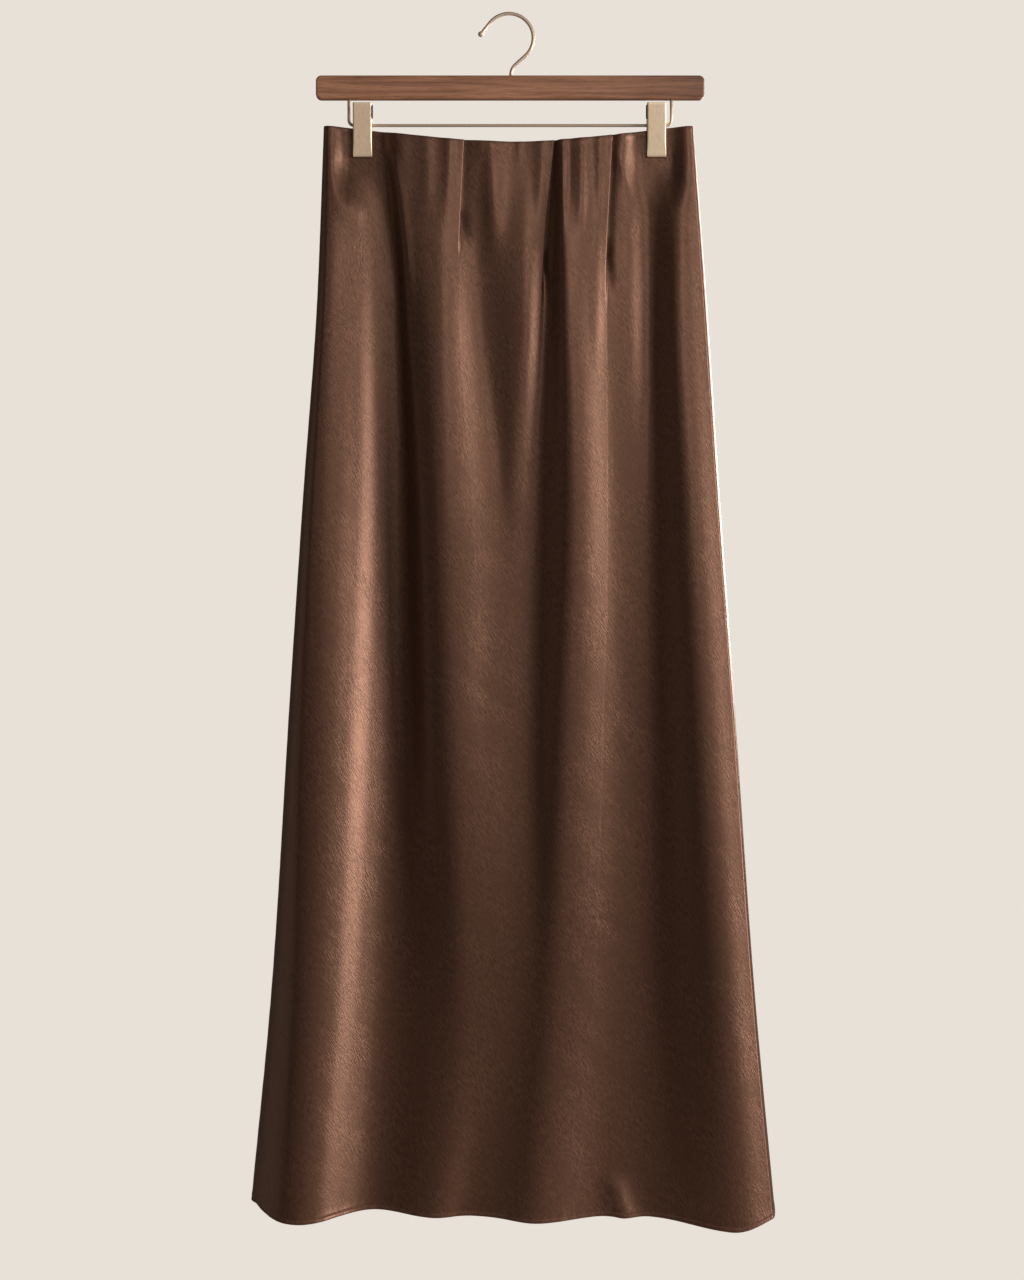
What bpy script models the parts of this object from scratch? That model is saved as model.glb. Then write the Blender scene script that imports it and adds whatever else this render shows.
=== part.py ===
"""A satin maxi skirt hung by its waist from a wooden hanger with two metal clips.

Metres, +Z up, +X to the right, +Y to the back. The origin is where a rod carries the hanger: the
underside of the hook's crest. The skirt is two cut panels, front and back, joined at the sides, with
three knife tucks at the front of the waist. Its cloth hangs in deep soft folds that widen to the hem.
"""

import math

import bmesh
import bpy
import numpy as np
from mathutils import Matrix, Vector

MM = 0.001
GAP = 0.3 * MM  # between pieces that touch

# ---------------------------------------------------------------- driving sizes, hanger

BAR_LENGTH = 355 * MM
BAR_HEIGHT = 20 * MM
BAR_DEPTH = 13 * MM
BAR_CORNER = 5 * MM  # radius of the bar's ends, seen from the front
BAR_EDGE = 1.6 * MM  # rounding of its long edges
BAR_CENTRE_X = 1 * MM
BAR_TOP = -55.5 * MM

HOOK_WIRE = 3.3 * MM  # diameter
HOOK_RADIUS = 22.2 * MM  # of the crook, to the middle of the wire
HOOK_LEAVES = math.radians(-48)  # where the wire joins the crook, from its centre
HOOK_TIP = math.radians(141)  # where the crook runs out into the straight tip
HOOK_TIP_LENGTH = 12 * MM
HOOK_BALL = 2.6 * MM  # radius of the ball at the tip
NECK_X = 2.7 * MM
NECK_BEND = 8 * MM
HOOK_SEAT = 15 * MM  # how far the shank goes down into the bar

RAIL_WIRE = 2.8 * MM  # diameter
RAIL_HALF = 147.5 * MM  # from the bar's centre to an upright
RAIL_Z = -100.8 * MM
RAIL_BEND = 5 * MM
RAIL_SEAT = 9 * MM  # how far each upright goes up into the bar

CLIP_X = {"left": -133.7 * MM, "right": 135.9 * MM}
CLIP_WIDTH = 17 * MM
CLIP_TOP = -80.3 * MM
CLIP_BOTTOM = -130.2 * MM
PLATE = 1.2 * MM  # thickness of its sheet metal
PLATE_TOP_Y = 11.8 * MM  # outer face at the top, from the middle plane
PLATE_BOTTOM_Y = 6.0 * MM
EAR = 1.0 * MM
EAR_REACH = 2.8 * MM  # past the rail's centre
EAR_ABOVE = 4.3 * MM
EAR_BELOW = 2.1 * MM
SPRING_WIRE = 1.2 * MM
SPRING_RADIUS = 2.4 * MM
SPRING_TURNS = 4
SPRING_LENGTH = 7.6 * MM
SPRING_LEG_OUT = 5.7 * MM
SPRING_LEG_UP = 7.8 * MM

# ---------------------------------------------------------------- driving sizes, skirt

CLOTH = 1.5 * MM  # thickness of the wall
WAIST_Z = -101.9 * MM  # the top edge at the sides
WAIST_DIP = 15 * MM  # how far it dips in the middle
WAIST_HALF = 169 * MM
HEM_LEFT_Z = -1079 * MM
HEM_RIGHT_Z = -1083 * MM
HEM_DROP = 0.22  # the hem is lower where a fold stands forward, by this share of its depth
# Rows of the cloth, in mm below the waist: close together where the tucks open out.
ROWS = (
    0, 14, 32, 52, 68, 80, 92, 104, 116, 128, 140, 153, 168, 188, 220, 265, 325, 400, 485, 580, 680,
    780, 880, 982,
)
PINCH_HALF = 13.5 * MM  # half the width that a clip holds flat
PINCH_EASE = 13 * MM  # the cloth is free again this far beyond
PINCH_FALL = 45 * MM  # and this far below the clip

# The heights that the fold lines pass through, in mm below the waist.
STATIONS = {"waist": 0, "hip": 157, "thigh": 340, "knee": 523, "calf": 780, "hem": 982}

# Each row is one line down the cloth, from the left side to the right: where it lies across the
# skirt and how far it stands out from the middle plane, in mm, at each station.
#            name             x at waist, hip, thigh, knee, calf, hem           out at the same
FRONT_LINES = {
    "side_left":    ((-168, -174, -187, -199, -216, -237), (4, 12, 20, 26, 34, 44)),
    "ridge_side":   ((-156, -154, -158, -164, -177, -190), (5, 16, 26, 34, 49, 64)),
    "hollow_clip":  ((-114, -111, -106, -103, -107, -130), (2, 4, 5, 7, 15, 21)),
    "brink":        ((-101, -92, -77, -68, -61, -81), (7, 15, 24, 32, 42, 50)),
    "ridge_tuck":   ((-70, -66, -59, -54, -46, -63), (9, 19, 28, 35, 45, 53)),
    "hollow_v":     ((-30, -22, -14, -3, 0, -32), (8, 13, 18, 24, 36, 44)),
    "ridge_v":      ((-9, 17, 4, 5, 5, -28), (10, 19, 22, 25, 36, 44)),
    "hollow_tuck":  ((14, 41, 26, 12, 9, -24), (9, 13, 16, 24, 36, 44)),
    "ridge_middle": ((68, 62, 60, 54, 45, 24), (10, 24, 32, 38, 48, 60)),
    "hollow_right": ((104, 107, 109, 110, 102, 90), (8, 11, 13, 17, 29, 40)),
    "ridge_slight": ((114, 116, 118, 119, 114, 116), (5, 10, 11, 15, 28, 42)),
    "hollow_side":  ((121, 127, 126, 127, 127, 133), (2, 5, 9, 14, 29, 42)),
    "ridge_right":  ((155, 161, 167, 174, 190, 206), (4, 15, 25, 34, 51, 66)),
    "side_right":   ((167, 179, 191, 204, 222, 242), (4, 13, 22, 30, 43, 54)),
}
BACK_LINES = {
    "side_left":    ((-168, -174, -187, -199, -216, -237), (4, 10, 16, 22, 30, 36)),
    "ridge_side":   ((-156, -150, -154, -159, -169, -181), (4, 12, 20, 28, 40, 52)),
    "hollow_left":  ((-119, -104, -102, -105, -110, -121), (1, 6, 9, 12, 18, 24)),
    "ridge_left":   ((-56, -51, -45, -40, -34, -38), (8, 16, 23, 31, 42, 52)),
    "hollow_mid":   ((-2, 6, 12, 16, 20, 17), (7, 11, 13, 17, 25, 31)),
    "ridge_mid":    ((54, 64, 70, 77, 84, 82), (8, 17, 25, 33, 44, 55)),
    "hollow_right": ((121, 124, 127, 131, 137, 141), (1, 6, 9, 12, 18, 25)),
    "ridge_right":  ((154, 164, 172, 180, 192, 206), (4, 12, 20, 30, 44, 56)),
    "side_right":   ((167, 179, 191, 204, 222, 242), (4, 10, 16, 24, 34, 40)),
}

# The front's three knife tucks, pressed to the left: where the pressed edge lies at each station,
# in mm, how deep it folds under, how far down it stays pressed, and where it has opened out.
TUCKS = (
    {"edge": (-41, -45, -34, -28, -24, -50), "under": 8, "pressed": 62, "open": 135},
    {"edge": (41, 33, 36, 31, 24, -4), "under": 8, "pressed": 85, "open": 185},
    {"edge": (95, 88, 89, 84, 76, 60), "under": 8, "pressed": 66, "open": 140},
)
TUCK_BEND = 0.35 * MM  # inside radius of a pressed edge
TUCK_OPEN = 5 * MM  # length of each of its two bends once it has opened
TUCK_RISE = 22 * MM  # to the right of a tuck the cloth comes forward again over this far
BEND_STEPS = 3

# How far in from each side the cloth turns round to meet the other panel, in mm at each station.
TURN_LEFT = (5, 14, 22, 28, 34, 40)
TURN_RIGHT = (5, 10, 13, 16, 22, 30)
TURN_STEPS = 4
# Columns of the front between the left side, the three tucks and the right side, and of the back.
FRONT_SPANS = (12, 7, 5, 10)
BACK_SPANS = (28,)


# ---------------------------------------------------------------- scene and materials


def clear_scene():
    for obj in list(bpy.data.objects):
        bpy.data.objects.remove(obj)


def material(name, colour, roughness, metallic=0.0):
    made = bpy.data.materials.new(name)
    made.use_nodes = True
    shader = made.node_tree.nodes["Principled BSDF"]
    shader.inputs["Base Color"].default_value = (*colour, 1)
    shader.inputs["Roughness"].default_value = roughness
    shader.inputs["Metallic"].default_value = metallic
    return made


def add_object(name, mesh, finish=None):
    obj = bpy.data.objects.new(name, mesh)
    bpy.context.scene.collection.objects.link(obj)
    if finish:
        mesh.materials.append(finish)
    return obj


def mesh_of(bm, name):
    bmesh.ops.recalc_face_normals(bm, faces=bm.faces)
    mesh = bpy.data.meshes.new(name)
    bm.to_mesh(mesh)
    bm.free()
    return mesh


def smooth(obj, degrees=35):
    obj.data.shade_smooth()
    obj.data.set_sharp_from_angle(angle=math.radians(degrees))


def helper(obj):
    """Marks a cutter or a shape that is joined into another as no piece of its own."""
    obj.hide_render = True
    obj.display_type = "WIRE"
    return obj


def combine(obj, other, operation):
    modifier = obj.modifiers.new(operation.lower(), "BOOLEAN")
    modifier.object = helper(other)
    modifier.operation = operation


# ---------------------------------------------------------------- simple shapes


def box(name, low, high, finish=None):
    bm = bmesh.new()
    bmesh.ops.create_cube(bm, size=1)
    low, high = Vector(low), Vector(high)
    bmesh.ops.scale(bm, vec=high - low, verts=bm.verts)
    bmesh.ops.translate(bm, vec=(low + high) / 2, verts=bm.verts)
    return add_object(name, mesh_of(bm, name), finish)


def rod(name, start, end, radius, sides=16):
    """A plain cylinder between two points, for cutters."""
    bm = bmesh.new()
    start, end = Vector(start), Vector(end)
    turn = (end - start).to_track_quat("Z", "Y").to_matrix().to_4x4()
    place = Matrix.Translation((start + end) / 2) @ turn
    bmesh.ops.create_cone(
        bm, cap_ends=True, segments=sides, radius1=radius, radius2=radius,
        depth=(end - start).length, matrix=place,
    )
    return add_object(name, mesh_of(bm, name))


def tube(name, path, radii, sides, square_to, finish):
    """Round rings of the given radii set square on a path, bridged and closed at both ends.

    square_to is a direction that the path never runs along."""
    path = np.asarray(path, float)
    along = np.gradient(path, axis=0)
    along /= np.linalg.norm(along, axis=1)[:, None]
    across = np.cross(along, square_to)
    across /= np.linalg.norm(across, axis=1)[:, None]
    other = np.cross(along, across)
    turn = np.linspace(0, 2 * math.pi, sides, endpoint=False)
    bm = bmesh.new()
    rings = []
    for point, side, up, radius in zip(path, across, other, radii):
        ring = [
            bm.verts.new(point + radius * (math.cos(a) * side + math.sin(a) * up)) for a in turn
        ]
        rings.append(ring)
    for lower, upper in zip(rings, rings[1:]):
        for i in range(sides):
            j = (i + 1) % sides
            bm.faces.new((lower[i], lower[j], upper[j], upper[i]))
    bm.faces.new(rings[0])
    bm.faces.new(rings[-1])
    obj = add_object(name, mesh_of(bm, name), finish)
    smooth(obj)
    return obj


def arc(centre, radius, start, end, steps):
    """Points on a circle in the XZ plane, from one angle to another."""
    angles = np.linspace(start, end, steps + 1)
    x = centre[0] + radius * np.cos(angles)
    z = centre[1] + radius * np.sin(angles)
    return [(a, 0.0, b) for a, b in zip(x, z)]


# ---------------------------------------------------------------- hanger


def make_bar(finish):
    """The wooden bar, with blind holes for the hook's shank and for the rail's two uprights."""
    half = BAR_LENGTH / 2
    bottom = BAR_TOP - BAR_HEIGHT
    bar = box(
        "hanger_bar",
        (BAR_CENTRE_X - half, -BAR_DEPTH / 2, bottom),
        (BAR_CENTRE_X + half, BAR_DEPTH / 2, BAR_TOP),
        finish,
    )
    bm = bmesh.new()
    bm.from_mesh(bar.data)
    corners = [e for e in bm.edges if abs(e.verts[0].co.y - e.verts[1].co.y) > BAR_DEPTH / 2]
    bmesh.ops.bevel(bm, geom=corners, offset=BAR_CORNER, segments=5, profile=0.5, affect="EDGES")
    bm.to_mesh(bar.data)
    bm.free()
    rounding = bar.modifiers.new("edges", "BEVEL")
    rounding.width = BAR_EDGE
    rounding.segments = 2
    rounding.limit_method = "ANGLE"
    rounding.angle_limit = math.radians(50)
    seat = rod(
        "hook_hole",
        (NECK_X, 0, BAR_TOP - HOOK_SEAT - GAP),
        (NECK_X, 0, BAR_TOP + 5 * MM),
        HOOK_WIRE / 2 + GAP,
    )
    combine(bar, seat, "DIFFERENCE")
    for side in (-1, 1):
        x = BAR_CENTRE_X + side * RAIL_HALF
        hole = rod(
            "rail_hole",
            (x, 0, bottom - 5 * MM),
            (x, 0, bottom + RAIL_SEAT + GAP),
            RAIL_WIRE / 2 + GAP,
        )
        combine(bar, hole, "DIFFERENCE")
    return bar


def make_hook(finish):
    """Wire from the bar up through a bent neck into a round crook, with a ball on its tip."""
    centre = (0.0, HOOK_WIRE / 2 - HOOK_RADIUS)
    join_x = HOOK_RADIUS * math.cos(HOOK_LEAVES)
    join_z = centre[1] + HOOK_RADIUS * math.sin(HOOK_LEAVES)
    heading = HOOK_LEAVES + math.pi / 2  # of the straight run that meets the crook
    run = (join_x - NECK_X) / math.cos(heading)
    corner_z = join_z - run * math.sin(heading)
    trim = NECK_BEND * math.tan((math.pi / 2 - heading) / 2)
    neck = arc(
        (NECK_X + NECK_BEND, corner_z - trim), NECK_BEND, math.pi, math.pi / 2 + heading, 4
    )
    crook = arc(centre, HOOK_RADIUS, HOOK_LEAVES, HOOK_TIP, 18)
    path = [(NECK_X, 0.0, BAR_TOP - HOOK_SEAT), *neck, *crook]
    radii = [HOOK_WIRE / 2] * len(path)
    tip = np.array(path[-1])
    along = np.array((-math.sin(HOOK_TIP), 0.0, math.cos(HOOK_TIP)))
    meets = math.asin(HOOK_WIRE / 2 / HOOK_BALL)  # where the wire runs into the ball
    for angle in np.linspace(math.pi - meets, math.radians(25), 5):
        path.append(tuple(tip + along * (HOOK_TIP_LENGTH + HOOK_BALL * math.cos(angle))))
        radii.append(HOOK_BALL * math.sin(angle))
    return tube("hanger_hook", path, radii, 10, (0, 1, 0), finish)


def make_rail(finish):
    """The wire below the bar that the clips slide on, bent up at both ends into the bar."""
    top = BAR_TOP - BAR_HEIGHT + RAIL_SEAT
    path = [(BAR_CENTRE_X - RAIL_HALF, 0.0, top)]
    for side, start, end in ((-1, math.pi, 1.5 * math.pi), (1, 1.5 * math.pi, 2 * math.pi)):
        centre = (BAR_CENTRE_X + side * (RAIL_HALF - RAIL_BEND), RAIL_Z + RAIL_BEND)
        path += arc(centre, RAIL_BEND, start, end, 4)
    path.append((BAR_CENTRE_X + RAIL_HALF, 0.0, top))
    return tube("hanger_rail", path, [RAIL_WIRE / 2] * len(path), 10, (0, 1, 0), finish)


def plate_profile(facing):
    """The plate seen from its end: a leaning strip with a lip at the bottom that bears on the cloth.

    facing is -1 for the front plate and 1 for the back one."""
    lip = GAP / 2 + CLOTH + GAP
    lip_height = PLATE
    outer_top = (PLATE_TOP_Y, CLIP_TOP)
    outer_bottom = (PLATE_BOTTOM_Y, CLIP_BOTTOM)
    inner = [
        (lip, CLIP_BOTTOM),
        (lip, CLIP_BOTTOM + lip_height),
        (PLATE_BOTTOM_Y - PLATE, CLIP_BOTTOM + lip_height),
        (PLATE_TOP_Y - PLATE, CLIP_TOP),
    ]
    return [(facing * y, z) for y, z in (outer_top, outer_bottom, *inner)]


def make_plate(name, x, facing, ear_offset, finish):
    """One jaw of a clip: the plate, and two ears with a hole for the rail, ear_offset from its middle."""
    bm = bmesh.new()
    half = CLIP_WIDTH / 2
    profile = [bm.verts.new((x - half, y, z)) for y, z in plate_profile(facing)]
    face = bm.faces.new(profile)
    extruded = bmesh.ops.extrude_face_region(bm, geom=[face])
    moved = [v for v in extruded["geom"] if isinstance(v, bmesh.types.BMVert)]
    bmesh.ops.translate(bm, vec=(CLIP_WIDTH, 0, 0), verts=moved)
    bm.faces.ensure_lookup_table()
    plate = add_object(name, mesh_of(bm, name), finish)
    rounding = plate.modifiers.new("edges", "BEVEL")
    rounding.width = 0.4 * MM
    rounding.segments = 1
    rounding.limit_method = "ANGLE"
    rounding.angle_limit = math.radians(50)
    for side in (-1, 1):
        ear_x = x + side * ear_offset
        ear = box(
            f"{name}_ear",
            (ear_x - EAR / 2, min(facing * 8.4 * MM, -facing * EAR_REACH), RAIL_Z - EAR_BELOW),
            (ear_x + EAR / 2, max(facing * 8.4 * MM, -facing * EAR_REACH), RAIL_Z + EAR_ABOVE),
        )
        combine(plate, ear, "UNION")
    hole = rod(
        f"{name}_hole", (x - half, 0, RAIL_Z), (x + half, 0, RAIL_Z), RAIL_WIRE / 2 + GAP, sides=12
    )
    combine(plate, hole, "DIFFERENCE")
    return plate


def make_spring(name, x, finish):
    """The torsion spring round the rail, with a leg up to each plate that pushes the jaws shut."""
    angle = np.linspace(0, math.pi * (2 * SPRING_TURNS + 1), 8 * SPRING_TURNS + 5)
    along = np.linspace(-SPRING_LENGTH / 2, SPRING_LENGTH / 2, len(angle))
    out, up = SPRING_RADIUS * np.cos(angle), -SPRING_RADIUS * np.sin(angle)
    coil = np.stack([x + along, -out, RAIL_Z + up], axis=1)
    front_end = coil[0] + np.array((0, -SPRING_LEG_OUT, SPRING_LEG_UP))
    back_end = coil[-1] + np.array((0, SPRING_LEG_OUT, SPRING_LEG_UP))
    path = np.vstack([front_end, coil, back_end])
    return tube(name, path, [SPRING_WIRE / 2] * len(path), 6, (1, 0, 0), finish)


# ---------------------------------------------------------------- skirt


def smooth_curve(at, known_x, known_y):
    """A curve through known points that never swings past them: each slope is the harmonic mean of
    its neighbours' where they agree in sign, and nothing at a crest or a hollow."""
    known_x, known_y = np.asarray(known_x, float), np.asarray(known_y, float)
    width = np.diff(known_x)
    rise = np.diff(known_y) / width
    slope = np.zeros(len(known_x))
    together = rise[:-1] * rise[1:] > 0
    w1, w2 = 2 * width[1:] + width[:-1], width[1:] + 2 * width[:-1]
    safe = np.where(together, rise[:-1], 1.0), np.where(together, rise[1:], 1.0)
    slope[1:-1] = np.where(together, (w1 + w2) / (w1 / safe[0] + w2 / safe[1]), 0.0)
    slope[0], slope[-1] = rise[0], rise[-1]
    i = np.clip(np.searchsorted(known_x, at) - 1, 0, len(width) - 1)
    t = (at - known_x[i]) / width[i]
    return (
        known_y[i] * (1 + 2 * t) * (1 - t) ** 2
        + slope[i] * width[i] * t * (1 - t) ** 2
        + known_y[i + 1] * t * t * (3 - 2 * t)
        + slope[i + 1] * width[i] * t * t * (t - 1)
    )


def ease(t):
    t = np.clip(t, 0, 1)
    return t * t * (3 - 2 * t)


def down(values, below):
    """A value listed at each station in mm, at this distance below the waist, in metres."""
    return float(smooth_curve(np.array([below / MM]), list(STATIONS.values()), values)[0]) * MM


def clip_hold(x, z):
    """1 where a clip holds the two layers flat together, easing to 0 around it."""
    held = np.zeros_like(x)
    for clip_x in CLIP_X.values():
        beside = 1 - ease((np.abs(x - clip_x) - PINCH_HALF) / PINCH_EASE)
        below = 1 - ease((CLIP_BOTTOM - 2 * MM - z) / PINCH_FALL)
        held = np.maximum(held, beside * below)
    return held


def waist_z(x):
    """The top edge: highest at the sides, dipping in the middle."""
    share = np.clip(np.abs(x) / WAIST_HALF, 0, 1)
    return WAIST_Z - WAIST_DIP * np.cos(share * math.pi / 2) ** 1.3


def hem_z(x, out):
    """The bottom edge: level but for a slight slant, and lower where a fold stands forward."""
    share = (x / WAIST_HALF + 1) / 2
    return HEM_LEFT_Z + share * (HEM_RIGHT_Z - HEM_LEFT_Z) - HEM_DROP * out


def stand_out(lines, x, below):
    """How far the cloth's inner face stands out from the middle plane at each x."""
    at = [down(places, below) for places, _ in lines.values()]
    out = [down(depths, below) for _, depths in lines.values()]
    return smooth_curve(x, at, out)


def side_round(x, left, right, turns):
    """0 at the two sides and 1 from each turn inwards, as quarter circles, so that they meet square."""
    near = np.clip(np.minimum((x - left) / turns[0], (right - x) / turns[1]), 0, 1)
    return np.sqrt(1 - (1 - near) ** 2)


def tuck_shape(under, pressed):
    """A knife tuck seen from above, starting at its edge: x and out for each point after the edge.

    The cloth turns away round a tight bend, runs under for the tuck's depth, and turns forward again
    round a bend that is wider by the thickness of the cloth. Fully pressed, it turns right back on
    itself; further down, both bends open and the fold becomes a step, then a slope."""
    turn = max(pressed, 0.02) * math.pi
    first = (pressed * TUCK_BEND * math.pi + (1 - pressed) * TUCK_OPEN) / turn
    second = (pressed * (TUCK_BEND + CLOTH) * math.pi + (1 - pressed) * TUCK_OPEN) / turn
    run = under * pressed**2 + 0.4 * TUCK_OPEN * (1 - pressed)
    angles = np.linspace(0, turn, BEND_STEPS + 1)
    first_x = first * np.sin(angles)
    first_out = -first * (1 - np.cos(angles))
    start_x = first_x[-1] + run * math.cos(turn)
    start_out = first_out[-1] - run * math.sin(turn)
    second_x = start_x + second * (math.sin(turn) - np.sin(turn - angles))
    second_out = start_out - second * (np.cos(turn - angles) - math.cos(turn))
    return np.append(first_x[1:], second_x), np.append(first_out[1:], second_out)


def columns(left, right, edges, turns, spans):
    """x down the section: close together round the sides, then even between the tucks.

    It returns one array for each span, from the left side over the tucks to the right side."""
    rounding = 1 - np.cos(np.linspace(0, math.pi / 2, TURN_STEPS + 1)[:-1])
    stops = [left + turns[0], *edges, right - turns[1]]
    runs = [np.linspace(a, b, n + 1) for a, b, n in zip(stops, stops[1:], spans)]
    runs[0] = np.append(left + turns[0] * rounding, runs[0])
    runs[-1] = np.append(runs[-1], (right - turns[1] * rounding)[::-1])
    return runs


def section(lines, tucks, spans, below):
    """The inner face of a panel seen from above, at one distance below the waist: x and out."""
    left, right = (down(lines[side][0], below) for side in ("side_left", "side_right"))
    turns = down(TURN_LEFT, below), down(TURN_RIGHT, below)
    edges = [down(tuck["edge"], below) for tuck in tucks]
    runs = columns(left, right, edges, turns, spans)
    lowered, past = 0.0, left  # how far the last tuck set the cloth back, and where

    def level(x):
        recovered = np.exp(-((np.maximum(x - past, 0) / TUCK_RISE) ** 2))
        return stand_out(lines, x, below) * side_round(x, left, right, turns) - lowered * recovered

    xs, outs = [runs[0]], [level(runs[0])]
    for tuck, edge, run in zip(tucks, edges, runs[1:]):
        pressed = 1 - float(ease((below / MM - tuck["pressed"]) / (tuck["open"] - tuck["pressed"])))
        fold_x, fold_out = tuck_shape(tuck["under"] * MM, pressed)
        fold_x = edge + fold_x
        fold_out = level(fold_x) + fold_out
        xs.append(fold_x)
        outs.append(fold_out)
        lowered = float(stand_out(lines, fold_x[-1:], below)[0] - fold_out[-1])
        past = max(fold_x[-1], edge) + 2 * MM
        after = past + (run[1:] - run[1]) * (run[-1] - past) / (run[-1] - run[1])
        xs.append(after)
        outs.append(level(after))
    return np.concatenate(xs), np.concatenate(outs)


def offset(x, y, thickness):
    """The same line moved outwards by the cloth's thickness, square to it, as a mitre at each bend."""
    step = np.stack([np.diff(x), np.diff(y)], axis=1)
    step /= np.linalg.norm(step, axis=1)[:, None]
    square = np.stack([-step[:, 1], step[:, 0]], axis=1)
    before = np.vstack([square[:1], square])
    after = np.vstack([square, square[-1:]])
    middle = before + after
    middle /= np.linalg.norm(middle, axis=1)[:, None]
    stretch = 1 / np.clip((middle * after).sum(axis=1), 0.8, 1)
    return x + middle[:, 0] * stretch * thickness, y + middle[:, 1] * stretch * thickness


def make_panel(name, lines, tucks, spans, facing, finish):
    """A panel as a closed wall: a grid of inner points, the same points moved out, and the rim."""
    sections = [section(lines, tucks, spans, below * MM) for below in ROWS]
    top = waist_z(sections[0][0])
    bottom = hem_z(*sections[-1]) if facing < 0 else hem_z(sections[-1][0], 0) + 2 * MM
    bm = bmesh.new()
    inner, outer = [], []
    for below, (x, out) in zip(ROWS, sections):
        z = top + (bottom - top) * below / ROWS[-1]
        out = GAP / 2 + np.maximum(out, 0) * (1 - clip_hold(x, z))
        outer_x, outer_out = offset(x, out, CLOTH)
        inner.append([bm.verts.new(p) for p in zip(x, facing * out, z)])
        outer.append([bm.verts.new(p) for p in zip(outer_x, facing * outer_out, z)])
    last = len(inner[0]) - 1
    for r in range(len(ROWS) - 1):
        for c in range(last):
            for grid in (inner, outer):
                bm.faces.new((grid[r][c], grid[r][c + 1], grid[r + 1][c + 1], grid[r + 1][c]))
        for c in (0, last):
            bm.faces.new((inner[r][c], inner[r + 1][c], outer[r + 1][c], outer[r][c]))
    for r in (0, len(ROWS) - 1):
        for c in range(last):
            bm.faces.new((inner[r][c], inner[r][c + 1], outer[r][c + 1], outer[r][c]))
    panel = add_object(name, mesh_of(bm, name), finish)
    smooth(panel, 60)
    return panel


# ---------------------------------------------------------------- the whole object


def main():
    clear_scene()
    satin = material("satin", (0.115, 0.062, 0.044), 0.38)
    walnut = material("walnut", (0.19, 0.085, 0.05), 0.5)
    brass = material("champagne_metal", (0.62, 0.53, 0.40), 0.32, 1.0)
    make_bar(walnut)
    make_hook(brass)
    make_rail(brass)
    for side, x in CLIP_X.items():
        make_plate(f"clip_{side}_front", x, -1, CLIP_WIDTH / 2 - 0.8 * MM, brass)
        make_plate(f"clip_{side}_back", x, 1, CLIP_WIDTH / 2 - 2.1 * MM, brass)
        make_spring(f"clip_{side}_spring", x, brass)
    make_panel("skirt_front", FRONT_LINES, TUCKS, FRONT_SPANS, -1, satin)
    make_panel("skirt_back", BACK_LINES, (), BACK_SPANS, 1, satin)


main()
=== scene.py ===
import math

import bpy
import numpy as np
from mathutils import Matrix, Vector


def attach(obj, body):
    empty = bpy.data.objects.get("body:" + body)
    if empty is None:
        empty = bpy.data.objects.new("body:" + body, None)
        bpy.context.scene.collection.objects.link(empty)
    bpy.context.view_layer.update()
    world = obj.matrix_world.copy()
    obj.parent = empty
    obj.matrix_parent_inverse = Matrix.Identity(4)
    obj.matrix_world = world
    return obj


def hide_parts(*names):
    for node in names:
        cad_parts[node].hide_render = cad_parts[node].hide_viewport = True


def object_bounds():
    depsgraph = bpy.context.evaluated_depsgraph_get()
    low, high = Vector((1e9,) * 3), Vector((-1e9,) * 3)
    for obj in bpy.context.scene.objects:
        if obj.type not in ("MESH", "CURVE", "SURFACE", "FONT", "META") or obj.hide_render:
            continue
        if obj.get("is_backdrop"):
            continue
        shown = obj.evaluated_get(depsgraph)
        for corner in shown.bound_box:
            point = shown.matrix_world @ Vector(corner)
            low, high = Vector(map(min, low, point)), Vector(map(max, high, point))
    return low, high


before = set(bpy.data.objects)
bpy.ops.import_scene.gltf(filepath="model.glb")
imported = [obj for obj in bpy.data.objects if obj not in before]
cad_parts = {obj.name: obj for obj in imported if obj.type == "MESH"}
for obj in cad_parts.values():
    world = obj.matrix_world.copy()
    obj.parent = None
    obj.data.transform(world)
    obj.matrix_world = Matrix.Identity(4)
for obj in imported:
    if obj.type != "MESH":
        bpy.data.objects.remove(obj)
cad_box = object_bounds()

MM = 0.001  # sizes below are in millimetres, and the scene is in metres

# ------------------------------------------------------------------ front panel
# The front is one panel of supple brown satin, hung by its top edge. Three knife tucks, pressed to
# the left, take in its waist. Below them it falls in long soft folds that widen down to the hem.

CLOTH = 0.6 * MM  # thickness of the sheet
FACE = 1.5 * MM  # the sheet's outer face, from the inner face of the solid that it stands for
SEAM_GAP = 0.02 * MM  # half the gap between the panels where they are sewn
LENGTH, SEWN_AT = 982, 979.3  # in mm below the waist: the hem's edge, and its row of stitches
# Rows down the cloth, in mm below the waist, close together at the turned edges.
DOWN = np.concatenate([
    (0, 0.7, 1.5, 2.4, 3.4, 4.6, 6.0, 7.8), np.linspace(10, 200, 64), np.linspace(203, 960, 84)[1:],
    (966, 970.5, 974, 976.4, 977.6, 978.6, SEWN_AT, 980, 980.7, 981.4, LENGTH),
])
STITCH_ROW = int(np.argmin(np.abs(DOWN - SEWN_AT)))

STATIONS = (0, 157, 340, 523, 780, 982)  # waist, hip, thigh, knee, calf, hem
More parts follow.
